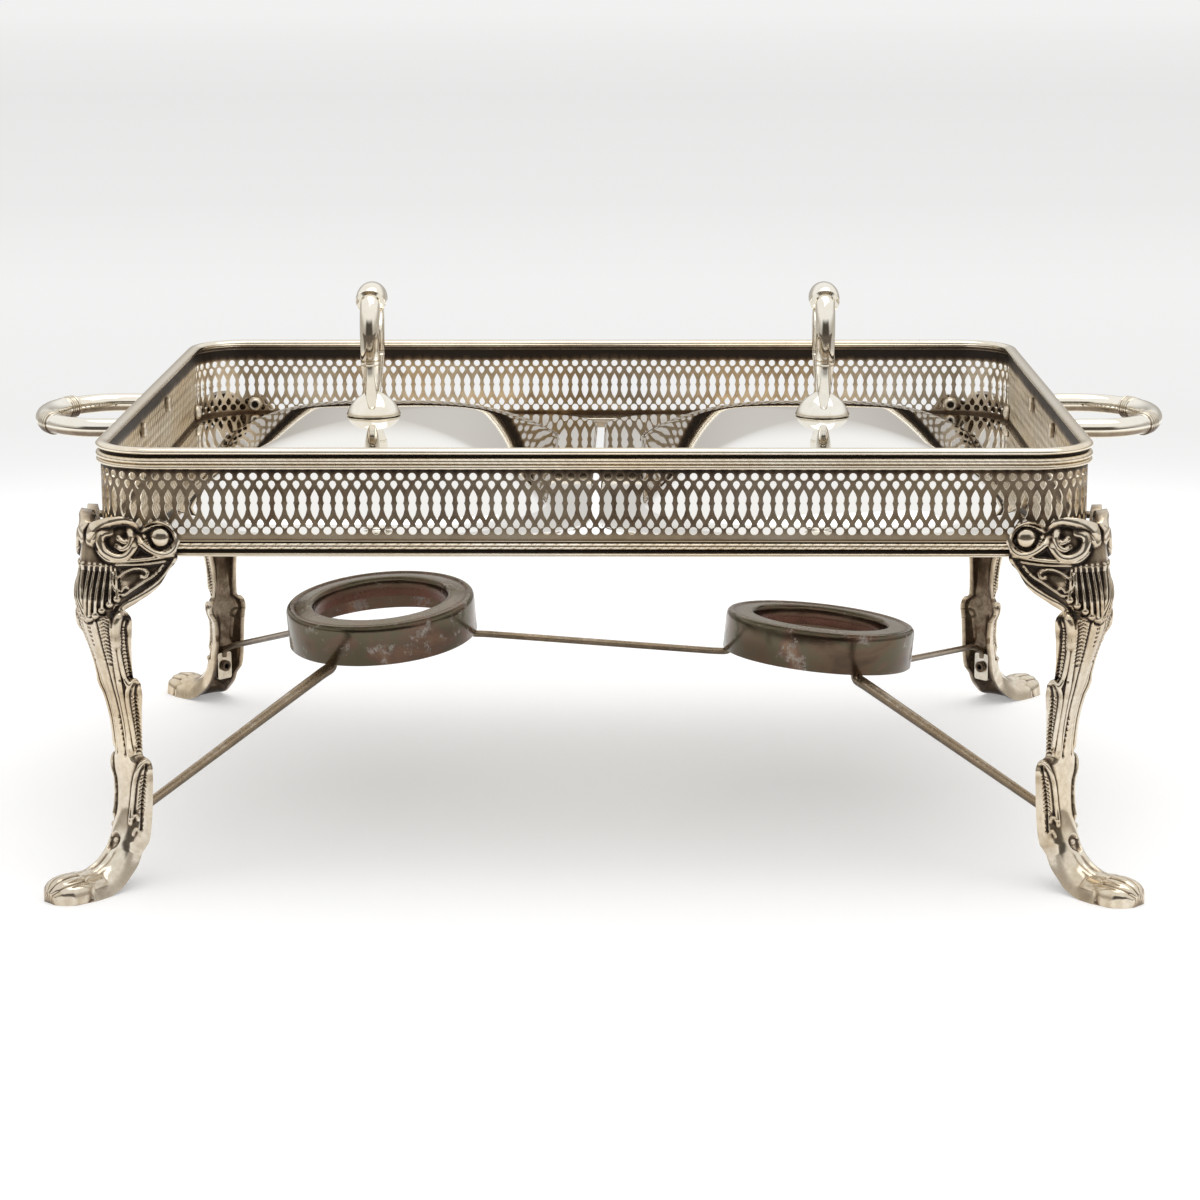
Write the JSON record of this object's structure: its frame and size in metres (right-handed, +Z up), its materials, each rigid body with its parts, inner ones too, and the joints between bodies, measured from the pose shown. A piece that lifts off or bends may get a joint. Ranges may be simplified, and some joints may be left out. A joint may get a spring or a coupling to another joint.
{
  "type": "chafing dish stand",
  "caption": "Silver-plated chafing stand with a pierced gallery, cabriole legs, burner rings, side handles and lift-off mirror lids with loop handles.",
  "frame": {"origin": "on the floor, below the middle of the frame", "axes": "+Z up, +X to the right along the long side between the handles, front towards -Y"},
  "size_m": [0.4976, 0.3556, 0.2286],
  "materials": {
    "silver_plate": "worn silver plate, warm, dark tarnish in the recesses",
    "bright_silver": "bright polished silver plate",
    "mirror_silver": "mirror polished silver plate",
    "tarnished_plate": "heavily tarnished plate, dark brown with green and purple film",
    "tarnished_rod": "dull tarnished rod",
    "rivet_metal": "plated rivets and nuts"
  },
  "bodies": {
    "stand": {"ankle_rivet_front_left": "rivet_metal", "ankle_rivet_front_right": "rivet_metal", "ankle_rivet_rear_left": "rivet_metal", "ankle_rivet_rear_right": "rivet_metal", "base_rail": "silver_plate", "burner_ring_left": "tarnished_plate", "burner_ring_right": "tarnished_plate", "gallery_band": "silver_plate", "leg_front_left": "silver_plate", "leg_front_right": "silver_plate", "leg_rear_left": "silver_plate", "leg_rear_right": "silver_plate", "rim_rail": "silver_plate", "side_handle_left": "bright_silver", "side_handle_nut_left_front": "rivet_metal", "side_handle_nut_left_rear": "rivet_metal", "side_handle_nut_right_front": "rivet_metal", "side_handle_nut_right_rear": "rivet_metal", "side_handle_right": "bright_silver", "stretcher_center": "tarnished_rod", "stretcher_front_left": "tarnished_rod", "stretcher_front_right": "tarnished_rod", "stretcher_rear_left": "tarnished_rod", "stretcher_rear_right": "tarnished_rod", "wing_rivet_front_left_long_side": "rivet_metal", "wing_rivet_front_left_short_side": "rivet_metal", "wing_rivet_front_right_long_side": "rivet_metal", "wing_rivet_front_right_short_side": "rivet_metal", "wing_rivet_rear_left_long_side": "rivet_metal", "wing_rivet_rear_left_short_side": "rivet_metal", "wing_rivet_rear_right_long_side": "rivet_metal", "wing_rivet_rear_right_short_side": "rivet_metal"},
    "lid_left": {"lid_foot_left": "bright_silver", "lid_handle_left": "bright_silver", "lid_left": "mirror_silver", "lid_nut_left": "rivet_metal"},
    "lid_right": {"lid_foot_right": "bright_silver", "lid_handle_right": "bright_silver", "lid_nut_right": "rivet_metal", "lid_right": "mirror_silver"}
  },
  "joints": [
    {"name": "lid_left_lift", "type": "slide", "parent": "stand", "child": "lid_left", "axis": [0, 0, 1], "range_m": [0, 0.08]},
    {"name": "lid_right_lift", "type": "slide", "parent": "stand", "child": "lid_right", "axis": [0, 0, 1], "range_m": [0, 0.08]}
  ]
}
